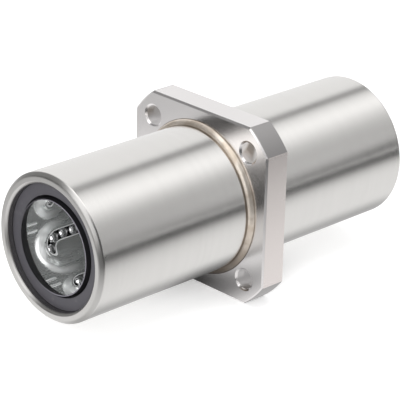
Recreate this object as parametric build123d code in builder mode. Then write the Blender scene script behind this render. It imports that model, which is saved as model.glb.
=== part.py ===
from build123d import *
import os
from math import atan2, cos, degrees, floor, hypot, pi, radians, sin

# Flanged linear bushing with two ball cages in one long sleeve.
# The bore runs along X, the origin is on its axis at mid-length, and Z is up.
# The front end lies towards -X. Lengths are in millimetres and angles in degrees.

# Main sizes
shaft_diameter = 25.0
sleeve_diameter = 40.0
sleeve_length = 112.0
sleeve_end_chamfer = 1.0
sleeve_mouth_chamfer = 0.4

# Flange: a turned disc with four flats; its heights are measured from the sleeve's outside
flange_height = 11.0
flat_height = 5.0
flange_thickness = 8.0
flange_edge_chamfer = 0.5
bolt_height = 5.5
bolt_count = 4
bolt_angle = 45.0
bolt_hole_diameter = 5.5
bolt_mouth_chamfer = 0.5
bolt_head_diameter = 9.5
bolt_head_depth = 5.1

# Braze filler between flange and sleeve
braze_film = 0.06
braze_front_bead = 1.4
braze_rear_bead = 0.5
bead_fullness = 0.8
braze_chamfer_margin = 0.1
braze_seat_depth = 0.25
braze_seat_margin = 0.5

# Ball circuits
circuit_count = 6
first_circuit_angle = -18.3
ball_diameter = 3.175
turn_ball_count = 3
turn_ball_gap = 0.07
shaft_to_ball_clearance = 0.0125
ball_to_raceway_clearance = 0.04
ball_to_track_clearance = 0.0625
ball_to_relief_clearance = 0.09

# Cages, pressed from sheet
sheet_thickness = 0.5
cage_to_raceway_clearance = 0.12
cage_to_shaft_gap = 0.7
cage_end_margin = 3.25
island_level = -0.15
track_foot_radius = 0.9
spacer_least_length = 3.0
spacer_to_shaft_gap = 1.1
spacer_chamfer = 0.3

# End stack, as depths from the end of the sleeve
seal_depth = 2.3
seal_thickness = 1.6
seat_step = 1.27
seat_clearance = 0.02
stack_clearance = 0.1
ring_thickness = 1.2
ring_groove_depth = 0.8
ring_side_clearance = 0.02
ring_radial_clearance = 0.1
ring_overlap = 0.4
ring_opening = 6.0
ring_end_round = 0.4

# Seal section; radial sizes are measured from the shaft
lip_reach = 1.0
lip_land = 0.3
lip_tip_thickness = 0.25
lip_flare = 0.45
lip_root_rise = 0.7
face_rise = 1.0
lip_gap_depth = 0.95
insert_rise = 1.5
insert_thickness = 0.5
insert_cover = 0.45

# Flange sizes that follow from the sleeve
sleeve_radius = sleeve_diameter / 2
flange_diameter = sleeve_diameter + 2 * flange_height
flange_width = sleeve_diameter + 2 * flat_height
bolt_circle = sleeve_diameter + 2 * bolt_height
front_side = -flange_thickness / 2
rear_side = flange_thickness / 2
seat_floor = sleeve_radius - braze_seat_depth
seat_front = front_side - braze_front_bead - braze_seat_margin
seat_rear = rear_side + braze_rear_bead + braze_seat_margin
flange_bore_radius = sleeve_radius + braze_film
front_mouth_radius = sleeve_radius + braze_front_bead + braze_chamfer_margin
rear_mouth_radius = sleeve_radius + braze_rear_bead + braze_chamfer_margin

# Radii that follow from the shaft and the balls
shaft_radius = shaft_diameter / 2
ball_radius = ball_diameter / 2
turn_radius = (ball_diameter + turn_ball_gap) / (2 * sin(pi / (2 * turn_ball_count)))
load_radius = shaft_radius + shaft_to_ball_clearance + ball_radius
return_radius = hypot(load_radius, 2 * turn_radius)
raceway_radius = load_radius + ball_radius + ball_to_raceway_clearance
track_radius = ball_radius + ball_to_track_clearance
relief_radius = return_radius + ball_radius + ball_to_relief_clearance
cage_radius = raceway_radius - cage_to_raceway_clearance
cage_inner_radius = cage_radius - sheet_thickness
cage_bore_radius = shaft_radius + cage_to_shaft_gap
rim_radius = track_radius + sheet_thickness
seat_radius = raceway_radius + seat_step
seal_radius = seat_radius - seat_clearance

# Places along the bore, as depths from the end of the sleeve
ring_depth = seal_depth + seal_thickness + stack_clearance
cage_depth = ring_depth + ring_thickness + stack_clearance / 2
turn_reach = turn_radius + rim_radius
turn_depth = cage_depth + cage_end_margin + turn_reach
half_length = sleeve_length / 2

# Circuit length: as many balls as fit between the end stack and the spacer
ball_pitch = pi * turn_radius / turn_ball_count
row_room = half_length - turn_depth - turn_reach - cage_end_margin - spacer_least_length / 2
row_ball_count = floor(row_room / ball_pitch)
row_length = row_ball_count * ball_pitch
cage_length = row_length + 2 * (turn_reach + cage_end_margin)
return_turn = degrees(atan2(2 * turn_radius, load_radius))

# Middle of the front and rear cage along the bore
cage_middle = {
    "front": -half_length + cage_depth + cage_length / 2,
    "rear": half_length - cage_depth - cage_length / 2,
}

# Angle of each circuit's loaded row, from +Y towards +Z
circuit_angles = [first_circuit_angle + 360 / circuit_count * i for i in range(circuit_count)]

os.makedirs("parts", exist_ok=True)


def circuit_plane(angle, middle):
    """Plane of a circuit: x runs along the bore, y from the loaded to the return row."""
    outward = Vector(0, cos(radians(angle)), sin(radians(angle)))
    across = Vector(0, sin(radians(angle)), -cos(radians(angle)))
    centre = outward * load_radius + across * turn_radius + Vector(middle, 0, 0)
    return Plane(origin=centre, x_dir=(1, 0, 0), z_dir=outward)


def shifted(plane, x, y):
    """The same plane with its origin moved in the plane."""
    return Plane(origin=plane.from_local_coords((x, y, 0)), x_dir=plane.x_dir, z_dir=plane.z_dir)


def swept_track(plane, radius):
    """A round bar of the given radius along a whole circuit."""
    half = row_length / 2
    start = plane.from_local_coords((-half, -turn_radius, 0))
    with BuildPart() as track:
        with BuildLine(plane):
            Line((-half, -turn_radius), (half, -turn_radius))
            ThreePointArc((half, -turn_radius), (half + turn_radius, 0), (half, turn_radius))
            Line((half, turn_radius), (-half, turn_radius))
            ThreePointArc((-half, turn_radius), (-half - turn_radius, 0), (-half, -turn_radius))
        with BuildSketch(Plane(origin=start, x_dir=(0, 1, 0), z_dir=(1, 0, 0))):
            Circle(radius)
        sweep()
    return track.part


def track_band(plane, radius, height):
    """A flat band round a whole circuit, standing outwards, as wide as a bar of the radius."""
    with BuildPart() as band:
        with BuildSketch(plane):
            SlotCenterToCenter(row_length, 2 * (turn_radius + radius))
            SlotCenterToCenter(row_length, 2 * (turn_radius - radius), mode=Mode.SUBTRACT)
        extrude(amount=height)
    return band.part


def make_cage(end):
    """Pressed cage: a tube with a raised racetrack for each circuit, open along the loaded row."""
    planes = [circuit_plane(angle, cage_middle[end]) for angle in circuit_angles]
    start = Plane.YZ.offset(cage_middle[end] - cage_length / 2)
    height = 2 * rim_radius
    island_width = 2 * (turn_radius - rim_radius) + sheet_thickness
    with BuildPart() as cage:
        # Raised rims of all racetracks, and the island inside each
        for plane in planes:
            add(swept_track(plane, rim_radius))
            add(track_band(plane, rim_radius, height))
            with BuildSketch(plane.offset(island_level)):
                SlotCenterToCenter(row_length, island_width)
            extrude(amount=height)
        # Trimmed to the bore inside, which opens the loaded rows, and to the tube outside
        with BuildSketch(start):
            Circle(cage_radius)
            Circle(cage_bore_radius, mode=Mode.SUBTRACT)
        extrude(amount=cage_length, mode=Mode.INTERSECT)
        # The tube, and the rounded foot of each rim on it
        with BuildSketch(start):
            Circle(cage_radius)
            Circle(cage_inner_radius, mode=Mode.SUBTRACT)
        extrude(amount=cage_length)
        inner_face = cage.faces().filter_by(GeomType.CYLINDER).sort_by(lambda f: len(f.inner_wires()))[-1]
        fillet([edge for wire in inner_face.inner_wires() for edge in wire.edges()], track_foot_radius)
        # The channels that the balls run in
        for plane in planes:
            add(swept_track(plane, track_radius), mode=Mode.SUBTRACT)
            add(track_band(plane, track_radius, height), mode=Mode.SUBTRACT)
    return cage.part


def make_seal():
    """Front seal: rubber disc with a groove and a lip that points outwards."""
    face = -half_length + seal_depth
    back = face + seal_thickness
    tip = face - lip_reach
    gap_bottom = face + lip_gap_depth
    insert_front = back - insert_thickness
    with BuildPart() as seal:
        with BuildSketch(Plane.XY):
            with BuildLine():
                Polyline(
                    (face, seal_radius),
                    (face, shaft_radius + face_rise),
                    (gap_bottom, shaft_radius + face_rise),
                    (gap_bottom, shaft_radius + lip_root_rise),
                    (tip, shaft_radius + lip_tip_thickness),
                    (tip, shaft_radius),
                    (tip + lip_land, shaft_radius),
                    (back, shaft_radius + lip_flare),
                    (back, shaft_radius + insert_rise),
                    (insert_front, shaft_radius + insert_rise),
                    (insert_front, seal_radius - insert_thickness),
                    (face + insert_cover, seal_radius - insert_thickness),
                    (face + insert_cover, seal_radius),
                    close=True,
                )
            make_face()
        revolve(axis=Axis.X)
    return seal.part


def make_insert():
    """Front seal's stiffening ring, L-shaped, bonded behind the rubber."""
    face = -half_length + seal_depth
    back = face + seal_thickness
    with BuildPart() as insert:
        with BuildSketch(Plane.XY):
            with BuildLine():
                Polyline(
                    (back, shaft_radius + insert_rise),
                    (back - insert_thickness, shaft_radius + insert_rise),
                    (back - insert_thickness, seal_radius - insert_thickness),
                    (face + insert_cover, seal_radius - insert_thickness),
                    (face + insert_cover, seal_radius),
                    (back, seal_radius),
                    close=True,
                )
            make_face()
        revolve(axis=Axis.X)
    return insert.part


def make_ring():
    """Front retaining ring, open at the bottom so that it can be squeezed into its groove."""
    outer = seat_radius + ring_groove_depth - ring_radial_clearance
    inner = cage_radius - ring_overlap
    with BuildPart() as ring:
        with BuildSketch(Plane.YZ.offset(-half_length + ring_depth)) as outline:
            Circle(outer)
            Circle(inner, mode=Mode.SUBTRACT)
            with Locations((0, -(outer + inner) / 2)):
                Rectangle(ring_opening, outer - inner + ring_opening, mode=Mode.SUBTRACT)
            fillet(outline.vertices(), ring_end_round)
        extrude(amount=ring_thickness)
    return ring.part


def mirrored(piece):
    """The rear twin of a front piece."""
    with BuildPart() as twin:
        mirror(piece, about=Plane.YZ)
    return twin.part


def ball_row(plane, side):
    """Straight row of balls; side is -1 for the loaded row and 1 for the return row."""
    with BuildPart(shifted(plane, 0, side * turn_radius)) as row:
        with GridLocations(ball_pitch, ball_pitch, row_ball_count, 1):
            Sphere(ball_radius)
    return row.part


def ball_turn(plane, side):
    """Balls in a turn; side is -1 for the front turn and 1 for the rear turn."""
    step = 180 / turn_ball_count
    first_angle = step / 2 - side * 90
    with BuildPart(shifted(plane, side * row_length / 2, 0)) as turn:
        with PolarLocations(turn_radius, turn_ball_count, first_angle, 180):
            Sphere(ball_radius)
    return turn.part


def write(piece, name):
    """Label a finished piece and write it."""
    piece.label = name
    export_step(piece, f"parts/{name}.step")


# Sleeve: seal seats, ring grooves, raceway lands, turn reliefs, return grooves and the flange's seat
groove_start = -half_length + ring_depth - ring_side_clearance
groove_end = groove_start + ring_thickness + 2 * ring_side_clearance
groove_radius = seat_radius + ring_groove_depth
front_turn = -half_length + turn_depth
rear_turn = front_turn + row_length
relief_length = turn_radius + track_radius
with BuildPart() as sleeve:
    with BuildSketch(Plane.XY):
        with BuildLine():
            Polyline(
                (-half_length, sleeve_radius - sleeve_end_chamfer),
                (-half_length, seat_radius + sleeve_mouth_chamfer),
                (-half_length + sleeve_mouth_chamfer, seat_radius),
                (groove_start, seat_radius),
                (groove_start, groove_radius),
                (groove_end, groove_radius),
                (groove_end, raceway_radius),
                (front_turn - relief_length, raceway_radius),
                (front_turn - relief_length, relief_radius),
                (front_turn, relief_radius),
                (front_turn, raceway_radius),
                (rear_turn, raceway_radius),
                (rear_turn, relief_radius),
                (rear_turn + relief_length, relief_radius),
                (rear_turn + relief_length, raceway_radius),
                (0, raceway_radius),
                (0, sleeve_radius),
                (-half_length + sleeve_end_chamfer, sleeve_radius),
                close=True,
            )
        make_face()
        mirror(about=Plane.YZ)
    revolve(axis=Axis.X)
    with BuildSketch(Plane.YZ):
        with PolarLocations(return_radius, circuit_count, first_circuit_angle - return_turn):
            Circle(track_radius)
    extrude(amount=-groove_end, both=True, mode=Mode.SUBTRACT)
    with BuildSketch(Plane.YZ.offset(seat_front)):
        Circle(sleeve_radius)
        Circle(seat_floor, mode=Mode.SUBTRACT)
    extrude(amount=seat_rear - seat_front, mode=Mode.SUBTRACT)
sleeve.part.label = "sleeve"
export_step(sleeve.part, "parts/sleeve.step")

# Flange: turned disc with four flats, and a bore with braze chamfers; the screws enter from the rear
with BuildPart() as flange:
    with BuildSketch(Plane.YZ):
        Circle(flange_diameter / 2)
        Rectangle(flange_width, flange_width, mode=Mode.INTERSECT)
    extrude(amount=flange_thickness / 2, both=True)
    chamfer(flange.faces().filter_by(Axis.X).edges(), flange_edge_chamfer)
    with BuildSketch(Plane.XY):
        with BuildLine():
            Polyline(
                (front_side, 0),
                (front_side, front_mouth_radius),
                (front_side + front_mouth_radius - flange_bore_radius, flange_bore_radius),
                (rear_side - rear_mouth_radius + flange_bore_radius, flange_bore_radius),
                (rear_side, rear_mouth_radius),
                (rear_side, 0),
                close=True,
            )
        make_face()
    revolve(axis=Axis.X, mode=Mode.SUBTRACT)
    with Locations(Plane.YZ.offset(flange_thickness / 2)):
        with PolarLocations(bolt_circle / 2, bolt_count, bolt_angle):
            CounterBoreHole(bolt_hole_diameter / 2, bolt_head_diameter / 2, bolt_head_depth)
    front_face = flange.faces().filter_by(Axis.X).sort_by(Axis.X)[0]
    chamfer(front_face.edges().filter_by(GeomType.CIRCLE).group_by(SortBy.RADIUS)[0], bolt_mouth_chamfer)
flange.part.label = "flange"
export_step(flange.part, "parts/flange.step")

# Braze: a film in the flange's bore, with a full bead in front and a thin one behind
front_bulge = braze_front_bead * bead_fullness
rear_bulge = braze_rear_bead * bead_fullness
with BuildPart() as braze_joint:
    with BuildSketch(Plane.XY):
        with BuildLine():
            ThreePointArc(
                (front_side - braze_front_bead, sleeve_radius),
                (front_side - front_bulge * sin(pi / 4), sleeve_radius + front_bulge * sin(pi / 4)),
                (front_side, sleeve_radius + braze_front_bead),
            )
            Polyline(
                (front_side, sleeve_radius + braze_front_bead),
                (front_side, front_mouth_radius),
                (front_side + front_mouth_radius - flange_bore_radius, flange_bore_radius),
                (rear_side - rear_mouth_radius + flange_bore_radius, flange_bore_radius),
                (rear_side, rear_mouth_radius),
                (rear_side, sleeve_radius + braze_rear_bead),
            )
            ThreePointArc(
                (rear_side, sleeve_radius + braze_rear_bead),
                (rear_side + rear_bulge * sin(pi / 4), sleeve_radius + rear_bulge * sin(pi / 4)),
                (rear_side + braze_rear_bead, sleeve_radius),
            )
            Polyline(
                (rear_side + braze_rear_bead, sleeve_radius),
                (rear_side + braze_rear_bead, seat_floor),
                (front_side - braze_front_bead, seat_floor),
                (front_side - braze_front_bead, sleeve_radius),
            )
        make_face()
    revolve(axis=Axis.X)
braze_joint.part.label = "braze_joint"
export_step(braze_joint.part, "parts/braze_joint.step")

# Spacer between the two cages
spacer_half = -cage_middle["front"] - cage_length / 2 - stack_clearance / 2
with BuildPart() as retainer_spacer:
    with BuildSketch(Plane.YZ):
        Circle(cage_radius)
        Circle(shaft_radius + spacer_to_shaft_gap, mode=Mode.SUBTRACT)
    extrude(amount=spacer_half, both=True)
    chamfer(retainer_spacer.faces().filter_by(Axis.X).edges(), spacer_chamfer)
retainer_spacer.part.label = "retainer_spacer"
export_step(retainer_spacer.part, "parts/retainer_spacer.step")

# Seals, their inserts and the retaining rings: the rear ones mirror the front ones
for name, piece in {
    "seal_rubber": make_seal(),
    "seal_insert": make_insert(),
    "retaining_ring": make_ring(),
}.items():
    write(piece, f"front_{name}")
    write(mirrored(piece), f"rear_{name}")

# Cages and balls
for end in ("front", "rear"):
    write(make_cage(end), f"{end}_retainer")
    for number, angle in enumerate(circuit_angles, 1):
        plane = circuit_plane(angle, cage_middle[end])
        write(ball_row(plane, -1), f"{end}_circuit_{number}_load_balls")
        write(ball_row(plane, 1), f"{end}_circuit_{number}_return_balls")
        write(ball_turn(plane, -1), f"{end}_circuit_{number}_front_turn_balls")
        write(ball_turn(plane, 1), f"{end}_circuit_{number}_rear_turn_balls")
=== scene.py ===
from math import asin, atan2, cos, pi, radians, sin

import bmesh
import bpy
from bpy.props import FloatProperty, FloatVectorProperty, PointerProperty
from mathutils import Matrix, Vector, noise


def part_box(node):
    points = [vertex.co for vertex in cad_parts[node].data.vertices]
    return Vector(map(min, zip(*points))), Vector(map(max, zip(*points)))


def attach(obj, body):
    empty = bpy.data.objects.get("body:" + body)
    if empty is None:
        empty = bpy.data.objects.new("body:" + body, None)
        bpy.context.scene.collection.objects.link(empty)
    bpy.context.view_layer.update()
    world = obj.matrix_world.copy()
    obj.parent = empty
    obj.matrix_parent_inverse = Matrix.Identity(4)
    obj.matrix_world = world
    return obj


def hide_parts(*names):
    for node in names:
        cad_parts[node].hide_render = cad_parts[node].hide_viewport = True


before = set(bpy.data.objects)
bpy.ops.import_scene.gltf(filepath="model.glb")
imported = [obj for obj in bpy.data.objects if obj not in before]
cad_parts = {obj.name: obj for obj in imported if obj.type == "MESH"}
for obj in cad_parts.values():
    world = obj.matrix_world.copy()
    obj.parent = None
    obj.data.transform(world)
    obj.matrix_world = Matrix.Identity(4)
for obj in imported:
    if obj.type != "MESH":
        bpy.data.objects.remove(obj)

bl_info = {
    "name": "Flanged linear bushing",
    "version": (1, 0, 0),
    "blender": (4, 5, 0),
    "location": "View3D > Sidebar > Bushing",
    "description": "Dresses the packed flanged linear bushing and sets up its studio",
    "category": "Object",
}

MM = 0.001
HOUSING = "housing"
ENDS = {"front": -1, "rear": 1}
CIRCUITS = 6
CIRCUIT_STEP = 2 * pi / CIRCUITS

# Faces round each kind of turned form
TURNED_STEPS = 192
CORNER_STEPS = 384
BRAZE_STEPS = 720
HOLE_STEPS = 64
GROOVE_STEPS = 40
BEAD_STEPS = 24

# Edges sharper than these are rounded by soften, and stay sharp in the shading
ROUNDED_ANGLE = radians(28)
SHARP_ANGLE = radians(50)

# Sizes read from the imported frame, in metres
sleeve_low, sleeve_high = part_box("sleeve")
flange_low, flange_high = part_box("flange")
seal_low, seal_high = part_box("rear_seal_rubber")
insert_low, insert_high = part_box("rear_seal_insert")
ring_low, ring_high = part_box("rear_retaining_ring")
cage_low, cage_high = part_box("rear_retainer")
braze_low, braze_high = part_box("braze_joint")
row_low, row_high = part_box("rear_circuit_1_load_balls")
return_low, return_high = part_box("rear_circuit_1_return_balls")
outer_low, outer_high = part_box("rear_circuit_1_rear_turn_balls")
inner_low, inner_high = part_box("rear_circuit_1_front_turn_balls")
half_length = sleeve_high.x
sleeve_radius = sleeve_high.y
flange_half = flange_high.x
flat_reach = flange_high.y
seal_radius = seal_high.y
cage_radius = cage_high.y
cage_middle = (cage_low.x + cage_high.x) / 2
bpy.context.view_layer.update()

# The first circuit: the angle and radius of its loaded row, the radius of its turns, and half the length of
# the straight part of its racetrack
row_middle, return_middle = (row_low + row_high) / 2, (return_low + return_high) / 2
first_row = atan2(row_middle.z, row_middle.y)
row_reach = row_middle.yz.length
turn_radius = (row_middle - return_middle).length / 2
row_half = (row_high.x - row_low.x) / 2 + 0.1 * MM

# Sizes of the cages that the frame doesn't list
track_radius = 1.65 * MM
slot_reach = 13.5 * MM
sheet_radius = cage_radius - 0.5 * MM


# Settings that a user may change


def length(name, description, millimetres):
    """A length, written in millimetres and kept in metres."""
    return FloatProperty(name=name, description=description, default=millimetres * MM, unit="LENGTH")


def angle(name, description, degrees):
    """An angle, written in degrees."""
    return FloatProperty(name=name, description=description, default=radians(degrees), subtype="ANGLE")


def swatch(name, description, *channels):
    """A colour, written as red, green and blue."""
    return FloatVectorProperty(name=name, description=description, default=channels, subtype="COLOR",
                               min=0, max=1)


class SleeveSizes(bpy.types.PropertyGroup):
    """Sizes of the long ground sleeve."""

    end_chamfer: length("End chamfer", "Width of the chamfer round each end", 1.0)
    end_round: length("End rounding", "Softening of the two edges of that chamfer", 0.35)
    mouth_chamfer: length("Mouth chamfer", "Chamfer at the mouth of the bore", 0.65)
    fine_round: length("Fine rounding", "Rounding of the small inner edges", 0.08)
    groove_depth: length("Ring groove depth", "Depth of the retaining rings' grooves", 0.8)
    braze_seat_depth: length("Braze seat depth", "Depth of the seat that holds the braze", 0.25)
    braze_seat_margin: length("Braze seat margin", "Seat left bare beyond each bead", 0.5)
    relief_length: length("Relief length", "Length of the relief over a ball turn", 4.895)
    relief_depth: length("Relief depth", "Depth of that relief under the raceway", 1.4715)


class FlangeSizes(bpy.types.PropertyGroup):
    """Sizes of the four-sided flange and its screw holes."""

    diameter: length("Diameter", "Diameter of the turned corners", 62)
    edge_chamfer: length("Edge chamfer", "Chamfer round both faces", 0.5)
    fine_round: length("Fine rounding", "Rounding of every sharp edge", 0.07)
    bolt_circle: length("Bolt circle", "Diameter of the circle of the screw holes", 51)
    hole: length("Screw hole", "Diameter of the screw holes", 5.5)
    head: length("Screw head recess", "Diameter of the recesses for the screw heads", 9.5)
    head_depth: length("Recess depth", "Depth of those recesses", 5.1)
    hole_chamfer: length("Hole chamfer", "Chamfer at the front of the screw holes", 0.5)


class BrazeSizes(bpy.types.PropertyGroup):
    """Sizes of the braze filler between flange and sleeve."""

    front_bead: length("Front bead", "Height of the bead on the front of the flange", 1.4)
    rear_bead: length("Rear bead", "Height of the bead behind the flange", 0.5)
    film: length("Film", "Thickness of the film between flange and sleeve", 0.06)
    margin: length("Chamfer margin", "How far the flange's chamfers reach past the beads", 0.1)
    unevenness: length("Unevenness", "How far the bead's surface wanders", 0.11)


class SealSizes(bpy.types.PropertyGroup):
    """Sizes of the rubber seals."""

    shaft_radius: length("Shaft radius", "Radius of the shaft that the lip wipes", 12.5)
    lip_reach: length("Lip reach", "How far the lip stands out of the face", 1.0)
    lip_tip: length("Lip tip", "Thickness of the lip at its tip", 0.25)
    lip_root: length("Lip root", "Thickness of the lip at its root", 0.7)
    face_rise: length("Face rise", "Height of the inner edge of the face over the shaft", 1.0)
    groove_depth: length("Groove depth", "Depth of the groove behind the lip", 0.95)
    lip_flare: length("Lip flare", "Flare of the seal's bore towards its back", 0.95)
    lip_land: length("Lip land", "Length of the lip that touches the shaft", 0.3)
    edge_round: length("Edge rounding", "Rounding of the moulded edges", 0.12)
    fine_round: length("Fine rounding", "Rounding of the lip's tip and the groove", 0.05)


class CageSizes(bpy.types.PropertyGroup):
    """Sizes of the stiffening beads at the mouths of the cages."""

    bead_length: length("Bead length", "Length of a bead along the bore", 3.2)
    bead_radius: length("Bead radius", "Radius of a bead's round back", 0.5)
    bead_rise: length("Bead rise", "How far a bead stands into the bore", 0.25)
    near_turn: angle("First bead", "Angle of the first bead from its loaded row", 9.95)
    far_turn: angle("Second bead", "Angle of the second bead from its loaded row", 17.45)


class FinishColours(bpy.types.PropertyGroup):
    """Colours of the finishes."""

    steel: swatch("Ground steel", "Colour of the ground sleeve", 0.80, 0.785, 0.765)
    plating: swatch("Flange plating", "Colour of the plated flange", 0.87, 0.845, 0.84)
    braze: swatch("Braze", "Colour of the braze filler", 0.8, 0.725, 0.645)
    rubber: swatch("Rubber", "Colour of the seals", 0.075, 0.072, 0.083)
    sheet: swatch("Pressed steel", "Colour of the cages", 0.85, 0.865, 0.86)
    ball: swatch("Balls", "Colour of the balls", 0.82, 0.82, 0.83)
    spring: swatch("Spring steel", "Colour of the retaining rings", 0.16, 0.15, 0.145)


class StudioSettings(bpy.types.PropertyGroup):
    """Where the camera stands."""

    azimuth: angle("Azimuth", "Angle of the camera from the bore, round the vertical", 45.482)
    elevation: angle("Elevation", "Height of the camera above the horizon", 22.953)
    roll: angle("Roll", "Tilt of the picture", 1.478)
    distance: length("Distance", "Distance of the camera", 557.3)
    aim_right: length("Aim right", "Shift of the camera along the picture's width", -2.325)
    aim_up: length("Aim up", "Shift of the camera along the picture's height", -1.899)
    lens: FloatProperty(name="Lens", description="Focal length in millimetres on a 36 mm sensor",
                        default=186.867)


SETTINGS = {
    "sleeve": SleeveSizes,
    "flange": FlangeSizes,
    "braze": BrazeSizes,
    "seal": SealSizes,
    "cage": CageSizes,
    "finish": FinishColours,
    "studio": StudioSettings,
}


# Shader maths


class Level:
    """A number worked out over a surface. Python's operators on it add Math nodes."""

    def __init__(self, finish, socket):
        self.finish = finish
        self.socket = socket

    def math(self, operation, *values):
        return self.finish.add("ShaderNodeMath", {"operation": operation}, dict(enumerate(values)))

    def __add__(self, other):
        return self.math("ADD", self, other)

    def __sub__(self, other):
        return self.math("SUBTRACT", self, other)

    def __rsub__(self, other):
        return self.math("SUBTRACT", other, self)

    def __mul__(self, other):
        return self.math("MULTIPLY", self, other)

    def __pow__(self, other):
        return self.math("POWER", self, other)

    def __abs__(self):
        return self.math("ABSOLUTE", self)

    __radd__ = __add__


class Finish:
    """A material of nodes. Its places are the object's own, which are the frame's."""

    def __init__(self, name, **constants):
        self.material = bpy.data.materials.new(name)
        self.material.use_nodes = True
        self.tree = self.material.node_tree
        self.shader = self.tree.nodes["Principled BSDF"]
        for socket, value in constants.items():
            self.shader.inputs[socket.replace("_", " ").title().replace("Ior", "IOR")].default_value = value
        self.place = self.add("ShaderNodeTexCoord", {}, {}, "Object")
        self.x, self.y, self.z = (
            self.add("ShaderNodeSeparateXYZ", {}, {"Vector": self.place}, axis) for axis in "XYZ"
        )
        self.radius = (self.y * self.y + self.z * self.z) ** 0.5
        self.turn = self.y.math("ARCTAN2", self.z, self.y)

    def add(self, kind, settings, sockets, output=0):
        """Any node: its settings come first, then the values or links of its sockets."""
        node = self.tree.nodes.new(kind)
        for name, value in settings.items():
            if name == "stops":
                for position, level in value[1:-1]:
                    node.color_ramp.elements.new(position)
                for stop, (position, level) in zip(node.color_ramp.elements, value):
                    stop.position = position
                    stop.color = (level, level, level, 1.0)
            else:
                setattr(node, name, value)
        for name, value in sockets.items():
            self.feed(node.inputs[name], value)
        return Level(self, node.outputs[output])

    def feed(self, socket, value):
        if isinstance(value, Level):
            self.tree.links.new(value.socket, socket)
        else:
            socket.default_value = value

    def vector(self, x, y, z):
        return self.add("ShaderNodeCombineXYZ", {}, {"X": x, "Y": y, "Z": z})

    def grain(self, place, scale, detail=2.0):
        """Noise between 0 and 1."""
        return self.add("ShaderNodeTexNoise", {}, {"Vector": place, "Scale": scale, "Detail": detail})

    def between(self, value, low, high):
        """0 below low, 1 above high, and smooth between."""
        return self.add("ShaderNodeMapRange", {"interpolation_type": "SMOOTHSTEP"},
                        {"Value": value, "From Min": low, "From Max": high})

    def mix(self, share, first, second):
        """The first colour where share is 0, and the second where it is 1."""
        colours = {0: share, 6: self.colour(first), 7: self.colour(second)}
        return self.add("ShaderNodeMix", {"data_type": "RGBA"}, colours, 2)

    def colour(self, value):
        return value if isinstance(value, Level) else (*value, 1.0)

    def bump(self, height, depth):
        """A normal from a height of 0 to 1 that stands for this depth in metres."""
        return self.add("ShaderNodeBump", {}, {"Strength": 1.0, "Distance": depth, "Height": height})

    def set(self, **values):
        for socket, value in values.items():
            if socket == "base_color":
                value = self.colour(value)
            self.feed(self.shader.inputs[socket.replace("_", " ").title()], value)
        return self.material


def shade(colour, factor):
    """The colour made darker or lighter, still within 0 and 1."""
    return tuple(min(1.0, channel * factor) for channel in colour)


def tinted(colour, tint):
    """The colour multiplied by a tint."""
    return tuple(min(1.0, channel * part) for channel, part in zip(colour, tint))


# Finishes


def ground_steel(colour, end_chamfer):
    """Cylindrically ground steel: fine lines round the sleeve, faint clouds, and painted shade inside the
    bore.
    """
    finish = Finish("ground_steel")
    lines = finish.grain(finish.vector(finish.x * 9000, finish.y * 60, finish.z * 60), 1.0, 3.0)
    bands = finish.grain(finish.vector(finish.x * 700, finish.y * 14, finish.z * 14), 1.0, 2.0)
    clouds = finish.grain(finish.place, 45.0, 3.0)
    chamfer_start = half_length - end_chamfer
    end = finish.between(abs(finish.x), chamfer_start - 0.1 * MM, chamfer_start + 0.1 * MM)
    rings = finish.grain(finish.vector(finish.radius * 9000, finish.turn, 0.0), 1.0, 2.0)
    # The bore from the seal seat inwards, which gets painted shade
    bore = 1.0 - finish.between(finish.radius, seal_radius + 0.1 * MM, seal_radius + 0.3 * MM)
    tone = finish.mix(lines * 0.35 + bands * 0.35 + clouds * 0.3, shade(colour, 0.93), shade(colour, 1.06))
    tone = finish.mix(end * (0.75 + rings * 0.25), tone, shade(colour, 0.75))
    # Painted shade: the bore is made much darker
    tone = finish.mix(bore, tone, shade(colour, 0.46))
    height = lines * (1.0 - end) + rings * end
    return finish.set(
        base_color=tone,
        metallic=1.0,
        roughness=0.17 + lines * 0.06 + clouds * 0.05 + end * 0.1,
        normal=finish.bump(height, 0.0011 * MM),
    )


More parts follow.
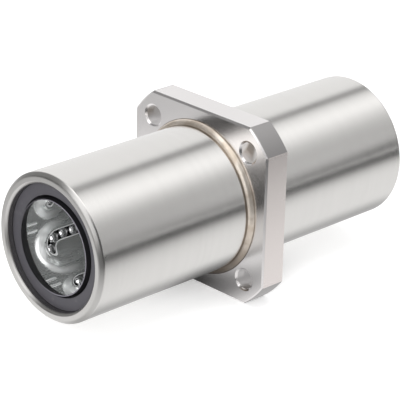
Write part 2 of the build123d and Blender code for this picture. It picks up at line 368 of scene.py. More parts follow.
def plated_flange(colour, sizes):
    """Plated flange: turned rings on the faces, milled lines on the flats, streaks on the corners, and
    painted shade on the corners, the side flats and inside the screw holes.
    """
    finish = Finish("plated_flange")
    face = finish.between(abs(finish.x), flange_half - 0.1 * MM, flange_half - 0.02 * MM)
    corner_radius = sizes.diameter / 2
    corner = finish.between(finish.radius, corner_radius - 0.2 * MM, corner_radius - 0.05 * MM)
    rings = finish.grain(finish.vector(finish.radius * 5200, finish.turn * 1.2, 0.0), 1.0, 3.0)
    milled = finish.grain(finish.vector(finish.x * 600, finish.y * 5000, finish.z * 5000), 1.0, 2.0)
    streaks = finish.grain(finish.vector(finish.x * 120, finish.turn * 260, 0.0), 1.0, 3.0)
    clouds = finish.grain(finish.place, 60.0, 3.0)
    lines = rings * face + (1.0 - face) * (streaks * corner + milled * (1.0 - corner))
    hole_reach = sizes.bolt_circle / 2 * cos(pi / 4)
    off_hole = ((abs(finish.y) - hole_reach) ** 2.0 + (abs(finish.z) - hole_reach) ** 2.0) ** 0.5
    hole_start, head = sizes.hole_chamfer - flange_half, sizes.head / 2
    deep = finish.between(finish.x, hole_start - 0.05 * MM, hole_start + 0.05 * MM)
    shaded_hole_wall = (1.0 - finish.between(off_hole, head + 0.03 * MM, head + 0.07 * MM)) * (1.0 - face) * deep
    side = finish.between(abs(finish.y), flat_reach - 0.1 * MM, flat_reach - 0.02 * MM)
    tone = finish.mix(lines * 0.5 + clouds * 0.5, shade(colour, 0.92), shade(colour, 1.07))
    # Painted shade: the turned corners are made much darker
    tone = finish.mix(corner * (1.0 - face) * 0.9, tone, shade(colour, 0.38))
    # Painted shade: the two side flats are a little darker and warmer than the top and bottom ones
    tone = finish.mix(side, tone, tinted(colour, (0.97, 0.93, 0.91)))
    # Painted shade inside the screw holes, which are also made rougher
    tone = finish.mix(shaded_hole_wall * (0.6 + clouds * 0.4), tone, shade(colour, 0.62))
    return finish.set(
        base_color=tone,
        metallic=1.0,
        roughness=0.2 + lines * 0.07 + clouds * 0.05 - face * 0.05 + corner * 0.12 + shaded_hole_wall * 0.25,
        normal=finish.bump(lines, 0.0016 * MM),
    )


def braze_metal(colour, bead):
    """Nickel braze filler: tan and cloudy, matt where it ran, with dark lines at its crest and foot that
    are partly heat tint and partly painted shade, and painted shade round its lower half.
    """
    finish = Finish("braze_metal")
    run = finish.grain(finish.vector(finish.x * 900, finish.turn * 18, finish.radius * 900), 1.0, 3.0)
    pits = finish.grain(finish.place, 2600.0, 2.0)
    clouds = finish.grain(finish.place, 260.0, 3.0)
    dull = tinted(colour, (0.85, 0.81, 0.76))
    tone = finish.mix(finish.between(clouds, 0.35, 0.65), dull, shade(colour, 1.12))
    tone = finish.mix(finish.between(pits, 0.62, 0.75) * 0.25, tone, tinted(colour, (0.6, 0.5, 0.42)))
    crest = sleeve_radius + bead
    rim = finish.between(finish.radius, crest - 0.1 * MM, crest + 0.02 * MM)
    foot = 1.0 - finish.between(finish.radius, sleeve_radius + 0.05 * MM, sleeve_radius + 0.3 * MM)
    # Dark lines at the crest and the foot of the bead: partly heat tint, partly painted shade in the
    # creases
    tone = finish.mix((rim + foot) * 0.75, tone, tinted(colour, (0.36, 0.32, 0.28)))
    # Painted shade: darker round the lower half, as in the photograph
    below = 1.0 - finish.between(finish.z, -14 * MM, 0.0)
    tone = finish.mix(below * 0.8, tone, tinted(colour, (0.22, 0.195, 0.18)))
    return finish.set(
        base_color=tone,
        metallic=0.85,
        roughness=0.22 + run * 0.14 + pits * 0.1,
        normal=finish.bump(run * 0.8 + pits * 0.2, 0.013 * MM),
    )


def seal_rubber(colour, lip_edge):
    """Moulded nitrile rubber: soft sheen, faint flow marks, a little dust, painted shade on the lip, and a
    painted highlight along the lip's tip.
    """
    finish = Finish("seal_rubber", ior=1.5, specular_ior_level=0.38)
    flow = finish.grain(finish.vector(finish.radius * 2500, finish.turn * 3, finish.x * 1500), 1.0, 3.0)
    skin = finish.grain(finish.place, 5200.0, 2.0)
    dust = finish.grain(finish.place, 420.0, 4.0)
    tone = finish.mix(flow * 0.6 + dust * 0.4, shade(colour, 0.82), shade(colour, 1.2))
    tone = finish.mix(finish.between(dust, 0.58, 0.75) * 0.12, tone, (0.3, 0.29, 0.28))
    lip = 1.0 - finish.between(finish.radius, lip_edge - 0.1 * MM, lip_edge + 0.1 * MM)
    tip = finish.between(abs(finish.x), seal_high.x - 0.12 * MM, seal_high.x - 0.06 * MM)
    # Painted shade: the lip and the groove behind it are made much darker
    tone = finish.mix(lip * 0.9, tone, shade(colour, 0.12))
    # Painted highlight: a light line along the lip's tip, strongest on the side towards negative y
    rubbed = 1.0 - finish.between(finish.y, -3.0 * MM, 8.0 * MM) * 0.8
    tone = finish.mix(lip * tip * rubbed * 0.8, tone, shade(colour, 3.2))
    return finish.set(
        base_color=tone,
        # Half metallic on the lip away from its tip, so that the painted shade reaches its sheen too
        metallic=lip * (1.0 - tip) * 0.5,
        roughness=0.42 + skin * 0.14 + flow * 0.1,
        normal=finish.bump(skin * 0.5 + flow * 0.5, 0.012 * MM),
    )


def pressed_steel(colour, bead_length):
    """Bright pressed sheet: shoulders round the racetracks, with painted highlights in a satin finish on
    the slot edges, the end beads and the shoulders at the racetracks' ends.
    """
    finish = Finish("pressed_steel")
    drawn = finish.grain(finish.vector(finish.x * 90, finish.turn * 40, finish.radius * 600), 1.0, 3.0)
    clouds = finish.grain(finish.place, 190.0, 3.0)
    # The angle from the loaded row of the circuit that this spot belongs to
    lean = CIRCUIT_STEP * 0.5 + asin(turn_radius / row_reach)
    near = finish.turn - first_row + lean
    near = near - near.math("FLOOR", near * (1 / CIRCUIT_STEP)) * CIRCUIT_STEP - lean
    # The distance from the middle line of its racetrack, in metres
    across = finish.radius * near.math("SINE", near) + turn_radius
    beyond = abs(abs(finish.x) - cage_middle) - row_half
    past = beyond.math("MAXIMUM", beyond, 0.0)
    off_track = (past ** 2.0 + across ** 2.0) ** 0.5 - turn_radius
    # The shoulder round it, with a painted highlight in a satin finish on a band of it at the racetrack's
    # ends
    shoulder = 1.0 - finish.between(off_track, 2.1 * MM, 4.3 * MM)
    hem = shoulder * finish.between(off_track, 1.7 * MM, 3.2 * MM)
    turned = finish.between(beyond, -5.0 * MM, 1.2 * MM)
    # The edge of the slot, where the bore cuts the swept track, which gets a painted highlight
    height = finish.radius * near.math("COSINE", near) - row_reach
    off_wall = (off_track ** 2.0 + height ** 2.0) ** 0.5 - track_radius
    slot_edge_highlight = finish.between(off_wall, -0.03 * MM, 0.0)
    slot_edge_highlight = slot_edge_highlight * (1.0 - finish.between(off_wall, 0.16 * MM, 0.24 * MM))
    slot_edge_highlight = slot_edge_highlight * (1.0 - finish.between(finish.radius, slot_reach, slot_reach + 0.1 * MM))
    # The crests of the end beads, which get a painted highlight
    bead_end = cage_high.x - bead_length
    near_end = finish.between(abs(finish.x), bead_end - 0.5 * MM, bead_end) * 0.8
    flat = finish.between(finish.radius, sheet_radius - 0.24 * MM, sheet_radius - 0.16 * MM)
    # satin: the painted highlights, lighter in colour, with a rougher and less metallic finish where they
    # lie
    edge_highlights = slot_edge_highlight + near_end * (1.0 - flat)
    satin = edge_highlights.math("MINIMUM", edge_highlights, 1.0)
    satin = satin + (1.0 - satin) * turned * hem * 0.8
    tone = finish.mix(drawn * 0.5 + clouds * 0.5, shade(colour, 0.95), shade(colour, 1.07))
    tone = finish.mix(satin, tone, (0.95, 0.96, 0.96))
    return finish.set(
        base_color=tone,
        metallic=0.86 - satin * 0.6,
        roughness=0.22 + drawn * 0.04 + clouds * 0.05 + satin * 0.1,
        normal=finish.bump(shoulder, 1.1 * MM),
    )


def ball_steel(colour):
    """Lapped balls: a mirror with the faintest haze of oil."""
    finish = Finish("ball_steel", coat_weight=0.2, coat_roughness=0.03)
    haze = finish.grain(finish.place, 900.0, 3.0)
    return finish.set(
        base_color=finish.mix(haze, shade(colour, 0.9), shade(colour, 1.05)),
        metallic=1.0,
        roughness=0.035 + haze * 0.03,
    )


def spring_steel(colour):
    """Blackened spring steel of the retaining rings, rubbed bright in places."""
    finish = Finish("spring_steel")
    rubbed = finish.grain(finish.place, 700.0, 4.0)
    grainy = finish.grain(finish.place, 5000.0, 2.0)
    tone = finish.mix(finish.between(rubbed, 0.56, 0.7) * 0.4, colour, shade(colour, 3.0))
    return finish.set(
        base_color=tone,
        metallic=0.9,
        roughness=0.34 + grainy * 0.14,
        normal=finish.bump(grainy, 0.004 * MM),
    )


def insert_steel(colour):
    """Stamped steel of the seals' inserts, with faint stamping marks."""
    finish = Finish("insert_steel")
    marks = finish.grain(finish.vector(finish.radius * 2200, finish.turn * 8, finish.x * 2200), 1.0, 3.0)
    clouds = finish.grain(finish.place, 300.0, 3.0)
    return finish.set(
        base_color=finish.mix(marks * 0.5 + clouds * 0.5, shade(colour, 0.6), shade(colour, 0.85)),
        metallic=1.0,
        roughness=0.3 + marks * 0.12,
        normal=finish.bump(marks, 0.004 * MM),
    )


def turned_steel(colour):
    """Turned steel of the spacer, with a fine feed spiral."""
    finish = Finish("turned_steel")
    spiral = finish.grain(finish.vector(finish.x * 8000, finish.turn * 2, finish.radius * 8000), 1.0, 2.0)
    clouds = finish.grain(finish.place, 260.0, 3.0)
    return finish.set(
        base_color=finish.mix(spiral * 0.5 + clouds * 0.5, shade(colour, 0.62), shade(colour, 0.85)),
        metallic=1.0,
        roughness=0.24 + spiral * 0.12,
        normal=finish.bump(spiral, 0.004 * MM),
    )


# Mesh tools


def spun(outline, steps):
    """A ring turned about the bore from a closed outline of (x, radius, rounding) corners."""
    mesh = bmesh.new()
    corners = [mesh.verts.new((x, radius, 0.0)) for x, radius, _ in outline]
    mesh.faces.new(corners)
    for rounding in sorted({corner[2] for corner in outline if corner[2]}):
        group = [vert for vert, corner in zip(corners, outline) if corner[2] == rounding]
        bmesh.ops.bevel(mesh, geom=group, offset=rounding, offset_type="OFFSET", segments=4, profile=0.5,
                        affect="VERTICES", material=-1)
    bmesh.ops.delete(mesh, geom=mesh.faces[:], context="FACES_ONLY")
    bmesh.ops.spin(mesh, geom=mesh.verts[:] + mesh.edges[:], cent=(0, 0, 0), axis=(1, 0, 0), angle=2 * pi,
                   steps=steps, use_merge=True)
    bmesh.ops.remove_doubles(mesh, verts=mesh.verts[:], dist=1e-7)
    bmesh.ops.recalc_face_normals(mesh, faces=mesh.faces[:])
    return mesh


def bar(mesh, x_low, x_high, radius_low, radius_high, y, z, segments):
    """Add a round bar or cone along the bore's direction, centred on (y, z)."""
    place = Matrix.Translation(((x_low + x_high) / 2, y, z)) @ Matrix.Rotation(pi / 2, 4, "Y")
    bmesh.ops.create_cone(mesh, cap_ends=True, cap_tris=False, segments=segments, radius1=radius_low,
                          radius2=radius_high, depth=x_high - x_low, matrix=place)


def as_object(mesh, name):
    """Turn a bmesh into an object at the origin."""
    data = bpy.data.meshes.new(name)
    mesh.to_mesh(data)
    mesh.free()
    piece = bpy.data.objects.new(name, data)
    bpy.context.scene.collection.objects.link(piece)
    return piece


def settle(piece):
    """Apply the piece's modifiers to its mesh."""
    bpy.context.view_layer.update()
    evaluated = piece.evaluated_get(bpy.context.evaluated_depsgraph_get())
    data = bpy.data.meshes.new_from_object(evaluated)
    old = piece.data
    piece.modifiers.clear()
    piece.data = data
    bpy.data.meshes.remove(old)


def carve(piece, cutter):
    """Cut a bmesh of closed bars out of the piece."""
    tool = as_object(cutter, f"{piece.name}_cutter")
    cut = piece.modifiers.new("cut", "BOOLEAN")
    cut.operation = "DIFFERENCE"
    cut.solver = "EXACT"
    cut.object = tool
    settle(piece)
    tool_data = tool.data
    bpy.data.objects.remove(tool)
    bpy.data.meshes.remove(tool_data)


def soften(piece, width):
    """Round the piece's edges by this width, if it has one, and shade the piece smooth."""
    if width:
        bevel = piece.modifiers.new("soften", "BEVEL")
        bevel.width = width
        bevel.segments = 2
        bevel.limit_method = "ANGLE"
        bevel.angle_limit = ROUNDED_ANGLE
        bevel.harden_normals = False
        settle(piece)
    piece.data.polygons.foreach_set("use_smooth", [True] * len(piece.data.polygons))
    piece.data.set_sharp_from_angle(angle=SHARP_ANGLE)
    weighted = piece.modifiers.new("weighted", "WEIGHTED_NORMAL")
    weighted.keep_sharp = True
    weighted.weight = 100
    settle(piece)


def dress(piece, material, slot, *nodes):
    """Give the piece its finish and let it stand for the frame's nodes."""
    piece.data.materials.clear()
    piece.data.materials.append(material)
    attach(piece, HOUSING)
    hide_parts(*nodes)


def paint(node, material):
    """Give a node of the frame its finish."""
    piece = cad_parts[node]
    for holder in piece.material_slots:
        holder.material = material


# Pieces


class BUSHING_OT_sleeve(bpy.types.Operator):
    """Turn the sleeve with softened ends, and cut its return grooves"""

    bl_idname = "bushing.sleeve"
    bl_label = "Sleeve"

    def execute(self, context):
        sizes = context.scene.bushing_sleeve
        fine = sizes.fine_round
        gap = 0.02 * MM
        raceway = cage_radius + 0.12 * MM
        relief = raceway + sizes.relief_depth
        seat = seal_radius + gap
        groove = seat + sizes.groove_depth
        ring_in, ring_out = ring_low.x - gap, ring_high.x + gap
        half = [
            (half_length - sizes.end_chamfer, sleeve_radius, sizes.end_round),
            (half_length, sleeve_radius - sizes.end_chamfer, sizes.end_round),
            (half_length, seat + sizes.mouth_chamfer, fine),
            (half_length - sizes.mouth_chamfer, seat, fine),
            (ring_out, seat, 0),
            (ring_out, groove, 0),
            (ring_in, groove, 0),
            (ring_in, raceway, 0),
        ]
        margin = (sizes.relief_length - (outer_high.x - outer_low.x)) / 2
        for low, high in ((outer_low, outer_high), (inner_low, inner_high)):
            start, stop = high.x + margin, low.x - margin
            half += [(start, raceway, 0), (start, relief, 0), (stop, relief, 0), (stop, raceway, 0)]
        seat_front = braze_low.x - sizes.braze_seat_margin
        seat_rear = braze_high.x + sizes.braze_seat_margin
        seat_floor = sleeve_radius - sizes.braze_seat_depth
        outline = half + [(-x, radius, rounding) for x, radius, rounding in reversed(half)]
        outline += [
            (seat_front, sleeve_radius, fine),
            (seat_front, seat_floor, 0),
            (seat_rear, seat_floor, 0),
            (seat_rear, sleeve_radius, fine),
        ]
        piece = as_object(spun(outline, TURNED_STEPS), "sleeve_ground")
        reach, first = return_middle.yz.length, atan2(return_middle.z, return_middle.y)
        bars = bmesh.new()
        for number in range(CIRCUITS):
            turn = first + number * CIRCUIT_STEP
            bar(bars, -ring_in, ring_in, track_radius, track_radius, reach * cos(turn), reach * sin(turn),
                GROOVE_STEPS)
        carve(piece, bars)
        soften(piece, 0)
        finish = ground_steel(context.scene.bushing_finish.steel, sizes.end_chamfer)
        dress(piece, finish, "ground_steel", "sleeve")
        return {"FINISHED"}


class BUSHING_OT_flange(bpy.types.Operator):
    """Make the flange: a turned disc with four flats, four stepped screw holes and softened edges"""

    bl_idname = "bushing.flange"
    bl_label = "Flange"

    def execute(self, context):
        sizes = context.scene.bushing_flange
        rim = sizes.diameter / 2
        disc = bmesh.new()
        bar(disc, -flange_half, flange_half, rim, rim, 0, 0, CORNER_STEPS)
        for side in range(4):
            out = Vector((0, cos(side * pi / 2), sin(side * pi / 2)))
            bmesh.ops.bisect_plane(disc, geom=disc.verts[:] + disc.edges[:] + disc.faces[:], dist=1e-7,
                                   plane_co=out * flat_reach, plane_no=out, clear_outer=True)
            bmesh.ops.holes_fill(disc, edges=[edge for edge in disc.edges if edge.is_boundary], sides=0)
        ends = [edge for edge in disc.edges if abs(abs(edge.verts[0].co.x) - flange_half) < 1e-6
                and abs(edge.verts[0].co.x - edge.verts[1].co.x) < 1e-6]
        bmesh.ops.bevel(disc, geom=ends, offset=sizes.edge_chamfer, offset_type="OFFSET", segments=1,
                        profile=0.5, affect="EDGES", material=-1)
        bmesh.ops.recalc_face_normals(disc, faces=disc.faces[:])
        piece = as_object(disc, "flange_plated")
        # How far each tool reaches past the flange
        over = 1 * MM
        braze = context.scene.bushing_braze
        bore = sleeve_radius + braze.film
        front_mouth, rear_mouth = braze.front_bead + braze.margin, braze.rear_bead + braze.margin
        front_wide, rear_wide = sleeve_radius + front_mouth + over, sleeve_radius + rear_mouth + over
        start, stop = -flange_half - over, flange_half + over
        for low, high, radius_low, radius_high in (
            (start, stop, bore, bore),
            (start, -flange_half + front_mouth - braze.film, front_wide, bore),
            (flange_half - rear_mouth + braze.film, stop, bore, rear_wide),
        ):
            ream = bmesh.new()
            bar(ream, low, high, radius_low, radius_high, 0, 0, TURNED_STEPS)
            carve(piece, ream)
        for number in range(4):
            turn = pi / 4 + number * pi / 2
            y, z = cos(turn) * sizes.bolt_circle / 2, sin(turn) * sizes.bolt_circle / 2
            hole, head = sizes.hole / 2, sizes.head / 2
            for low, high, radius_low, radius_high in (
                (start, stop, hole, hole),
                (flange_half - sizes.head_depth, stop, head, head),
                (start, -flange_half + sizes.hole_chamfer, hole + sizes.hole_chamfer + over, hole),
            ):
                drill = bmesh.new()
                bar(drill, low, high, radius_low, radius_high, y, z, HOLE_STEPS)
                carve(piece, drill)
        soften(piece, sizes.fine_round)
        finish = plated_flange(context.scene.bushing_finish.plating, sizes)
        dress(piece, finish, "plated_flange", "flange")
        # The photograph shows no reflection of the flange in the sleeve
        piece.visible_glossy = False
        return {"FINISHED"}


class BUSHING_OT_braze(bpy.types.Operator):
    """Run the uneven braze bead round the foot of the flange"""

    bl_idname = "bushing.braze"
    bl_label = "Braze joint"

    def execute(self, context):
        sizes = context.scene.bushing_braze
        front, rear = sizes.front_bead, sizes.rear_bead
        floor = sleeve_radius - context.scene.bushing_sleeve.braze_seat_depth
        film, crease = sleeve_radius + sizes.film, 0.08 * MM
        front_mouth, rear_mouth = sleeve_radius + front + sizes.margin, sleeve_radius + rear + sizes.margin
        # The round back of the front bead: reach, height and rounding of its corners, as shares of its size
        back = ((0.98, 0.22, 0.1), (0.87, 0.48, 0.12), (0.69, 0.69, 0.12), (0.46, 0.85, 0.12),
                (0.2, 0.96, 0.1))
        outline = [
            (-flange_half - front, floor, 0),
            (-flange_half - front, sleeve_radius, 0),
            *((-flange_half - front * reach, sleeve_radius + front * height, front * rounding)
              for reach, height, rounding in back),
            (-flange_half + crease, sleeve_radius + front, 0),
            (-flange_half, front_mouth, 0),
            (-flange_half + front_mouth - film, film, 0),
            (flange_half - rear_mouth + film, film, 0),
            (flange_half, rear_mouth, 0),
            (flange_half + rear * 0.55, sleeve_radius + rear * 0.75, rear * 0.2),
            (flange_half + rear, sleeve_radius, 0),
            (flange_half + rear, floor, 0),
        ]
        ring = spun(outline, BRAZE_STEPS)
        for vert in ring.verts:
            x, radius = vert.co.x, (vert.co.y ** 2 + vert.co.z ** 2) ** 0.5
            share = min(max((-flange_half - x) / front, 0), 1) if x < 0 else 0
            rise = (radius - sleeve_radius) / front
            if share == 0 or rise <= 0 or share > 0.99:
                continue
            turn = atan2(vert.co.z, vert.co.y)
            along = Vector((cos(turn), sin(turn), 0)) * sleeve_radius
            slow = noise.noise(along * 180 + Vector((0, 0, 3.1)))
            quick = noise.noise(along * 700 + Vector((0, 0, x * 500)))
            # Crests are capped, so that the bead stays within its outline
            swell = min(slow * 0.6 + quick * 0.4, 0.35) * sizes.unevenness
            away = Vector((-share, rise)).normalized() * swell
            vert.co.x += away.x
            scale = (radius + away.y) / radius
            vert.co.y *= scale
            vert.co.z *= scale
        piece = as_object(ring, "braze_bead")
        soften(piece, 0)
        dress(piece, braze_metal(context.scene.bushing_finish.braze, front), "braze", "braze_joint")
        return {"FINISHED"}


class BUSHING_OT_seals(bpy.types.Operator):
    """Mould both seals with rounded edges, a groove and a lip, and plate their inserts"""

    bl_idname = "bushing.seals"
    bl_label = "Seals"

    def execute(self, context):
        sizes = context.scene.bushing_seal
        shaft, soft, fine = sizes.shaft_radius, sizes.edge_round, sizes.fine_round
        lip_edge = shaft + sizes.face_rise
        rubber = seal_rubber(context.scene.bushing_finish.rubber, lip_edge)
        steel = insert_steel(context.scene.bushing_finish.steel)
        face, back, tip = seal_high.x - sizes.lip_reach, seal_low.x, seal_high.x
        bottom = face - sizes.groove_depth
        insert_sheet = 0.5 * MM
        insert_front, insert_reach = insert_low.x + insert_sheet, seal_radius - insert_sheet
        insert_bore = shaft + 1.5 * MM
        outline = [
            (face, seal_radius, soft),
            (face, lip_edge, soft),
            (bottom, lip_edge, fine),
            (bottom, shaft + sizes.lip_root, fine),
            (tip, shaft + sizes.lip_tip, fine),
            (tip, shaft, fine),
            (tip - sizes.lip_land, shaft, soft),
            (back, shaft + sizes.lip_flare, soft),
            (back, insert_bore, 0),
            (insert_front, insert_bore, 0),
            (insert_front, insert_reach, 0),
            (insert_high.x, insert_reach, 0),
            (insert_high.x, seal_radius, 0),
        ]
        for end, side in ENDS.items():
            corners = [(x * side, radius, rounding) for x, radius, rounding in outline]
            piece = as_object(spun(corners, TURNED_STEPS), f"{end}_seal")
            soften(piece, 0)
            dress(piece, rubber, "seal_rubber", f"{end}_seal_rubber")
            paint(f"{end}_seal_insert", steel)
        return {"FINISHED"}


class BUSHING_OT_cages(bpy.types.Operator):
    """Finish the cages, the retaining rings and the spacer, and press the beads at the cages' mouths"""

    bl_idname = "bushing.cages"
    bl_label = "Cages and rings"

    def execute(self, context):
        colours, sizes = context.scene.bushing_finish, context.scene.bushing_cage
        sheet, spring = pressed_steel(colours.sheet, sizes.bead_length), spring_steel(colours.spring)
        for end in ENDS:
            paint(f"{end}_retainer", sheet)
            paint(f"{end}_retaining_ring", spring)
        paint("retainer_spacer", turned_steel(colours.steel))
        for end, side in ENDS.items():
            mesh = self.bead(sizes, side)
            model_verts = mesh.verts[:]
            model = model_verts + mesh.edges[:] + mesh.faces[:]
            for number in range(CIRCUITS):
                for turn in (sizes.near_turn, sizes.far_turn):
                    copy = bmesh.ops.duplicate(mesh, geom=model)["geom"]
                    verts = [part for part in copy if isinstance(part, bmesh.types.BMVert)]
                    place = Matrix.Rotation(first_row + number * CIRCUIT_STEP + turn, 3, "X")
                    bmesh.ops.rotate(mesh, cent=(0, 0, 0), verts=verts, matrix=place)
            bmesh.ops.delete(mesh, geom=model_verts, context="VERTS")
            bmesh.ops.recalc_face_normals(mesh, faces=mesh.faces[:])
            piece = as_object(mesh, f"{end}_end_beads")
            soften(piece, 0)
            dress(piece, sheet, "pressed_steel")
        return {"FINISHED"}

    def bead(self, sizes, side):
        """One round-ended bead at the top of the Y axis, with its back sunk into the sheet."""
        mouth, tail = side * (cage_high.x - 0.02 * MM), side * (cage_high.x - sizes.bead_length)
        axis = Vector((0, sheet_radius - sizes.bead_rise + sizes.bead_radius, 0))
        mesh = bmesh.new()
        profile = [(mouth, sizes.bead_radius)]
        quarter_steps = 8
        for step in range(quarter_steps + 1):
            turn = step / quarter_steps * pi / 2
            profile.append((tail - side * sin(turn) * sizes.bead_radius, cos(turn) * sizes.bead_radius))
        corners = [mesh.verts.new(axis + Vector((x, height, 0))) for x, height in profile]
        for pair in zip(corners, corners[1:]):
            mesh.edges.new(pair)
        bmesh.ops.spin(mesh, geom=mesh.verts[:] + mesh.edges[:], cent=axis, axis=(1, 0, 0), angle=2 * pi,
                       steps=BEAD_STEPS, use_merge=True)
        bmesh.ops.remove_doubles(mesh, verts=mesh.verts[:], dist=1e-7)
        sunk_back = (0, sheet_radius + 0.3 * MM, 0)
        bmesh.ops.bisect_plane(mesh, geom=mesh.verts[:] + mesh.edges[:] + mesh.faces[:], dist=1e-7,
                               plane_co=sunk_back, plane_no=(0, 1, 0), clear_outer=True)
        bmesh.ops.holes_fill(mesh, edges=[edge for edge in mesh.edges if edge.is_boundary], sides=0)
        return mesh


class BUSHING_OT_balls(bpy.types.Operator):
    """Polish the balls of all circuits"""

    bl_idname = "bushing.balls"
    bl_label = "Balls"

    def execute(self, context):
        mirror = ball_steel(context.scene.bushing_finish.ball)
        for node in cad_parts:
            if node.endswith("_balls"):
                paint(node, mirror)
        return {"FINISHED"}


# Studio


def staged(mesh, name, material):
    """Stand a piece in the studio that only reflections see."""
    card = as_object(mesh, name)
    card.data.materials.append(material)
    card.visible_camera = False
    card.visible_diffuse = False
    card.visible_shadow = False
    card.visible_transmission = False


def glow(name, level):
    """A plain material that shines at a level worked out by a function of the finish."""
    finish = Finish(name)
    finish.tree.nodes.remove(finish.shader)
    light = finish.add("ShaderNodeEmission", {}, {"Color": (1, 1, 1, 1), "Strength": level(finish)})
    output = finish.tree.nodes["Material Output"]
    finish.tree.links.new(light.socket, output.inputs["Surface"])
    return finish.material


# Brightness of the light tent behind and in front of the object. Each pair is a place on the way from the
# far side over the top to the near side, from 0 to 1, and the level there.
REAR_LEVELS = (
    (0.0, 0.75), (0.2, 0.75), (0.33, 0.75), (0.365, 0.72), (0.385, 0.22), (0.43, 0.2),
    (0.455, 0.62), (0.5, 0.8), (0.57, 0.96), (0.62, 0.93), (0.66, 0.76), (0.7, 0.6),
    (0.745, 0.46), (0.79, 0.41), (0.9, 0.37), (0.965, 0.28), (1.0, 0.04),
)
FRONT_LEVELS = (
    (0.0, 0.04), (0.18, 0.05), (0.25, 0.04), (0.36, 0.09), (0.43, 0.85), (0.48, 1.3),
    (0.6, 1.3), (0.66, 0.95), (0.71, 0.42), (0.76, 0.1), (0.9, 0.06), (1.0, 0.04),
)
TENT_PEAK = 1.25
TENT_RADIUS = 0.7
TENT_LOW, TENT_HIGH = -1.2, 2.2

# The small disc that shines into the mouth of the bore
CARD_LEVEL = 1.6
CARD_RADIUS = 11.5 * MM
CARD_GAP = 1.5 * MM


def tent_level(finish):
    """Brightness of the light tent, by the angle round the bore."""
    share = finish.turn * (1 / pi)
    # Behind, the bands lean a little, and the near side brightens towards the far end
    leaning = share + (finish.x - 0.575) * 0.25
    behind = finish.add("ShaderNodeValToRGB", {"stops": REAR_LEVELS}, {"Fac": leaning})
    lift = finish.between(share, 0.6, 0.7) * 0.15 + finish.between(share, 0.8, 0.96) * 0.65
    behind = behind * (1.0 + finish.between(finish.x, 0.57, 0.6) * lift)
    # In front, a bright patch stands low on the near side, and the far side is a little lit
    ahead = finish.add("ShaderNodeValToRGB", {"stops": FRONT_LEVELS}, {"Fac": share})
    patch = finish.between(share, 0.66, 0.72) * (1.0 - finish.between(share, 0.86, 1.0))
    ahead = ahead + patch * (1.0 - finish.between(finish.x, -0.9, -0.8)) * 1.2
    ahead = ahead + (1.0 - finish.between(share, 0.3, 0.4)) * finish.between(finish.x, -0.5, -0.4) * 0.17
    front = 1.0 - finish.between(finish.x, 0.0, 0.2)
    return (behind + (ahead - behind) * front) * TENT_PEAK


def floor_level(finish):
    """Brightness of the floor as reflections see it, with the object's shadow on it."""
    away = (finish.x ** 2.0 + finish.y ** 2.0) ** 0.5
    ahead = finish.between(away, 0.095, 0.12) * (1.0 - finish.between(finish.x, -0.06, -0.02))
    ahead = ahead * finish.between(finish.y, -0.05, -0.02)
    far_side = finish.between(finish.y, 0.06, 0.12) * (1.0 - finish.between(finish.x, 0.1, 0.17))
    near_side = 1.0 - finish.between(finish.y, -0.015, 0.002)
    # The lit part of the floor is a disc that stands off behind the object
    beyond = ((finish.x - 0.1) ** 2.0 + (finish.y - 0.3) ** 2.0) ** 0.5
    open_floor = 1.0 - ahead * 0.3 - near_side * 0.12 - far_side * 0.15
    open_floor = open_floor * (1.0 - finish.between(beyond, 0.345, 0.46) * 0.96)
    # The shadow under the sleeve
    off_line = finish.between(abs(finish.y + 0.009), 0.0, 0.012)
    under = (1.0 - off_line) * (1.0 - finish.between(abs(finish.x - 0.006), 0.056, 0.076))
    # The darker shadow at the flange's foot, an oval on each side of it
    along = (abs(finish.x) - flange_half) * (1 / 0.024)
    across = (finish.y - 0.002) * (1 / 0.022)
    foot = 1.0 - finish.between((along ** 2.0 + across ** 2.0) ** 0.5, 0.1, 1.0)
    return open_floor * (1.0 - under * 0.52) * (1.0 - foot * 0.95)


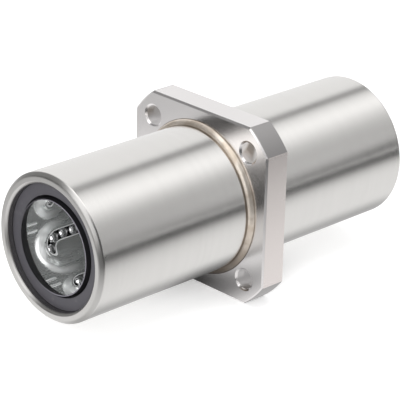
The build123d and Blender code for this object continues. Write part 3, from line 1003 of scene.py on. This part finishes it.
class BUSHING_OT_studio(bpy.types.Operator):
    """Set up the camera, the pale floor, the light tent and the lamps"""

    bl_idname = "bushing.studio"
    bl_label = "Studio"

    def execute(self, context):
        self.set_camera(context)
        self.set_floor()
        self.set_tent()
        self.set_lamps(context)
        context.scene.view_settings.view_transform = "Standard"
        return {"FINISHED"}

    def set_camera(self, context):
        studio = context.scene.bushing_studio
        back = Vector((-cos(studio.azimuth) * cos(studio.elevation),
                       -sin(studio.azimuth) * cos(studio.elevation), sin(studio.elevation)))
        level = Vector((0, 0, 1)).cross(back).normalized()
        upward = back.cross(level)
        right = level * cos(studio.roll) + upward * sin(studio.roll)
        up = upward * cos(studio.roll) - level * sin(studio.roll)
        camera = bpy.data.objects.new("camera", bpy.data.cameras.new("camera"))
        context.scene.collection.objects.link(camera)
        camera.data.lens = studio.lens
        camera.data.sensor_width = 36
        camera.data.clip_start = 0.01
        camera.data.clip_end = 20
        turn = Matrix((right, up, back)).transposed().to_4x4()
        place = right * studio.aim_right + up * studio.aim_up + back * studio.distance
        camera.matrix_world = Matrix.Translation(place) @ turn
        context.scene.camera = camera

    def set_floor(self):
        mesh = bmesh.new()
        bmesh.ops.create_grid(mesh, x_segments=1, y_segments=1, size=3,
                              matrix=Matrix.Translation((0, 0, flange_low.z)))
        floor = as_object(mesh, "floor")
        paper = Finish("floor_paper", specular_ior_level=0.2, emission_strength=0.3)
        pulp = paper.grain(paper.place, 300.0, 3.0)
        seen = paper.add("ShaderNodeLightPath", {}, {}, "Is Camera Ray")
        paper.feed(paper.shader.inputs["Emission Color"], paper.vector(seen, seen, seen))
        white = paper.mix(pulp, (0.93, 0.93, 0.93), (0.95, 0.95, 0.95))
        floor.data.materials.append(paper.set(base_color=white, roughness=0.8))

    def set_tent(self):
        tent_foot, rug_height = flange_low.z + 1 * MM, flange_low.z + 0.3 * MM
        tent = bmesh.new()
        bar(tent, TENT_LOW, TENT_HIGH, TENT_RADIUS, TENT_RADIUS, 0, 0, 96)
        caps = [face for face in tent.faces if len(face.verts) > 4]
        bmesh.ops.delete(tent, geom=caps, context="FACES_ONLY")
        bmesh.ops.bisect_plane(tent, geom=tent.verts[:] + tent.edges[:] + tent.faces[:], dist=1e-6,
                               plane_co=(0, 0, tent_foot), plane_no=(0, 0, 1), clear_inner=True)
        bmesh.ops.reverse_faces(tent, faces=tent.faces[:])
        staged(tent, "light_tent", glow("tent_cloth", tent_level))
        rug = bmesh.new()
        bmesh.ops.create_circle(rug, cap_ends=True, segments=96, radius=TENT_RADIUS - 10 * MM,
                                matrix=Matrix.Translation((0, 0, rug_height)))
        staged(rug, "floor_glow", glow("floor_glow", floor_level))
        card = bmesh.new()
        place = Matrix.Translation((sleeve_low.x - CARD_GAP, 0, 0)) @ Matrix.Rotation(pi / 2, 4, "Y")
        bmesh.ops.create_circle(card, cap_ends=True, segments=64, radius=CARD_RADIUS, matrix=place)
        staged(card, "mouth_card", glow("mouth_glow", lambda finish: CARD_LEVEL))

    def set_lamps(self, context):
        world = bpy.data.worlds.new("studio_world")
        world.use_nodes = True
        context.scene.world = world
        nodes, links = world.node_tree.nodes, world.node_tree.links
        background = nodes["Background"]
        background.inputs["Color"].default_value = (1, 1, 1, 1)
        rays = nodes.new("ShaderNodeLightPath")
        seen = nodes.new("ShaderNodeMath")
        seen.operation = "MAXIMUM"
        links.new(rays.outputs["Is Camera Ray"], seen.inputs[0])
        links.new(rays.outputs["Is Glossy Ray"], seen.inputs[1])
        level = nodes.new("ShaderNodeMapRange")
        level.inputs["To Min"].default_value = 0.85
        level.inputs["To Max"].default_value = 1.0
        links.new(seen.outputs[0], level.inputs["Value"])
        links.new(level.outputs[0], background.inputs["Strength"])
        for name, place, size, power in (
            ("front_softbox", Vector((-0.38, -0.33, 0.22)), 0.25, 1.4),
            ("top_softbox", Vector((0.1, -0.1, 0.6)), 0.5, 1.2),
        ):
            lamp = bpy.data.objects.new(name, bpy.data.lights.new(name, "AREA"))
            context.scene.collection.objects.link(lamp)
            lamp.data.shape = "DISK"
            lamp.data.size = size
            lamp.data.energy = power
            lamp.location = place
            lamp.rotation_euler = (-place).to_track_quat("-Z", "Y").to_euler()
            lamp.visible_glossy = False


OPERATORS = (
    BUSHING_OT_studio,
    BUSHING_OT_sleeve,
    BUSHING_OT_flange,
    BUSHING_OT_braze,
    BUSHING_OT_seals,
    BUSHING_OT_cages,
    BUSHING_OT_balls,
)


class BUSHING_PT_parts(bpy.types.Panel):
    """Lists the steps that dress the bushing, with their sizes"""

    bl_label = "Bushing"
    bl_idname = "BUSHING_PT_parts"
    bl_space_type = "VIEW_3D"
    bl_region_type = "UI"
    bl_category = "Bushing"

    def draw(self, context):
        for operator in OPERATORS:
            self.layout.operator(operator.bl_idname)
        for name, group in SETTINGS.items():
            box = self.layout.box()
            box.label(text=name.title())
            for size in group.__annotations__:
                box.prop(getattr(context.scene, f"bushing_{name}"), size)


CLASSES = (*SETTINGS.values(), *OPERATORS, BUSHING_PT_parts)


def register():
    for item in CLASSES:
        bpy.utils.register_class(item)
    for name, group in SETTINGS.items():
        setattr(bpy.types.Scene, f"bushing_{name}", PointerProperty(type=group))


def unregister():
    for name in SETTINGS:
        delattr(bpy.types.Scene, f"bushing_{name}")
    for item in reversed(CLASSES):
        bpy.utils.unregister_class(item)


def main():
    register()
    for operator in OPERATORS:
        family, action = operator.bl_idname.split(".")
        getattr(getattr(bpy.ops, family), action)()


if __name__ == "__main__":
    main()
